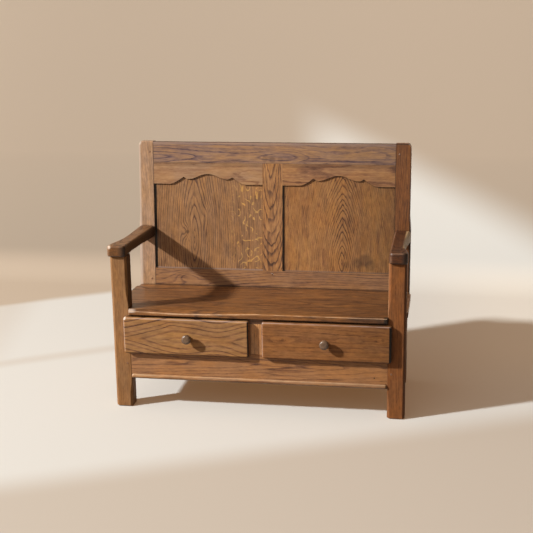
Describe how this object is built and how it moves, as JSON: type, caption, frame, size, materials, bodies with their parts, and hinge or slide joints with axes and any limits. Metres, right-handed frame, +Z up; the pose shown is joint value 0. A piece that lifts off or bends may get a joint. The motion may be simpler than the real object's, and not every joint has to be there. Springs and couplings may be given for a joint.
{
  "type": "settle bench",
  "caption": "Joined oak settle bench with a leaning panelled back, shaped rails, scooped arms, a plank seat and lipped drawers under it.",
  "frame": {"origin": "on the floor under the middle of the bench's box, knobs and leaning back included", "axes": "+X to the right as seen from the front, +Y towards the back, +Z up; the drawers open along -Y"},
  "size_m": [1.23, 0.589, 1.0655],
  "materials": {
    "oak_frame": "waxed mid-brown oak, satin",
    "oak_panel": "waxed golden-brown oak, satin",
    "oak_seat": "darker waxed oak, polished by use",
    "oak_arm": "dark waxed oak, worn and glossy",
    "oak_drawer_front": "waxed mid-brown oak, satin",
    "oak_inside": "plain unwaxed oak, matt",
    "turned_knob": "worn grey-brown wood, satin",
    "oak_peg": "dark oak end grain"
  },
  "bodies": {
    "bench": {"back_top_rail": "oak_frame", "back_bottom_rail": "oak_frame", "back_muntin": "oak_frame", "shaped_rail_left": "oak_frame", "shaped_rail_right": "oak_frame", "back_panel_left": "oak_panel", "back_panel_right": "oak_panel", "top_rail_peg_left": "oak_peg", "top_rail_peg_right": "oak_peg", "bottom_rail_peg_left": "oak_peg", "bottom_rail_peg_right": "oak_peg", "muntin_peg": "oak_peg", "back_stile_left": "oak_frame", "back_stile_right": "oak_frame", "front_post_left": "oak_frame", "front_post_right": "oak_frame", "front_lower_rail": "oak_frame", "front_rail_bead": "oak_frame", "front_top_rail": "oak_frame", "drawer_divider": "oak_frame", "side_top_rail_left": "oak_frame", "side_top_rail_right": "oak_frame", "side_lower_rail_left": "oak_frame", "side_lower_rail_right": "oak_frame", "side_panel_left": "oak_panel", "side_panel_right": "oak_panel", "seat_rail": "oak_frame", "back_lower_rail": "oak_frame", "back_lower_panel": "oak_panel", "seat_ledger": "oak_inside", "front_post_peg_left": "oak_peg", "front_post_peg_right": "oak_peg", "seat_board": "oak_seat", "arm_left": "oak_arm", "arm_right": "oak_arm", "outer_runner_left": "oak_inside", "outer_runner_right": "oak_inside", "centre_runner": "oak_inside", "outer_guide_left": "oak_inside", "outer_guide_right": "oak_inside", "centre_guide": "oak_inside", "outer_kicker_left": "oak_inside", "outer_kicker_right": "oak_inside", "centre_kicker": "oak_inside"},
    "drawer_left": {"drawer_left_front": "oak_drawer_front", "drawer_left_left_side": "oak_inside", "drawer_left_right_side": "oak_inside", "drawer_left_back": "oak_inside", "drawer_left_bottom": "oak_inside", "drawer_left_knob": "turned_knob"},
    "drawer_right": {"drawer_right_front": "oak_drawer_front", "drawer_right_left_side": "oak_inside", "drawer_right_right_side": "oak_inside", "drawer_right_back": "oak_inside", "drawer_right_bottom": "oak_inside", "drawer_right_knob": "turned_knob"}
  },
  "joints": [
    {"name": "drawer_left_slide", "type": "slide", "parent": "bench", "child": "drawer_left", "axis": [0, -1, 0], "range_m": [0, 0.3]},
    {"name": "drawer_right_slide", "type": "slide", "parent": "bench", "child": "drawer_right", "axis": [0, -1, 0], "range_m": [0, 0.3]}
  ]
}
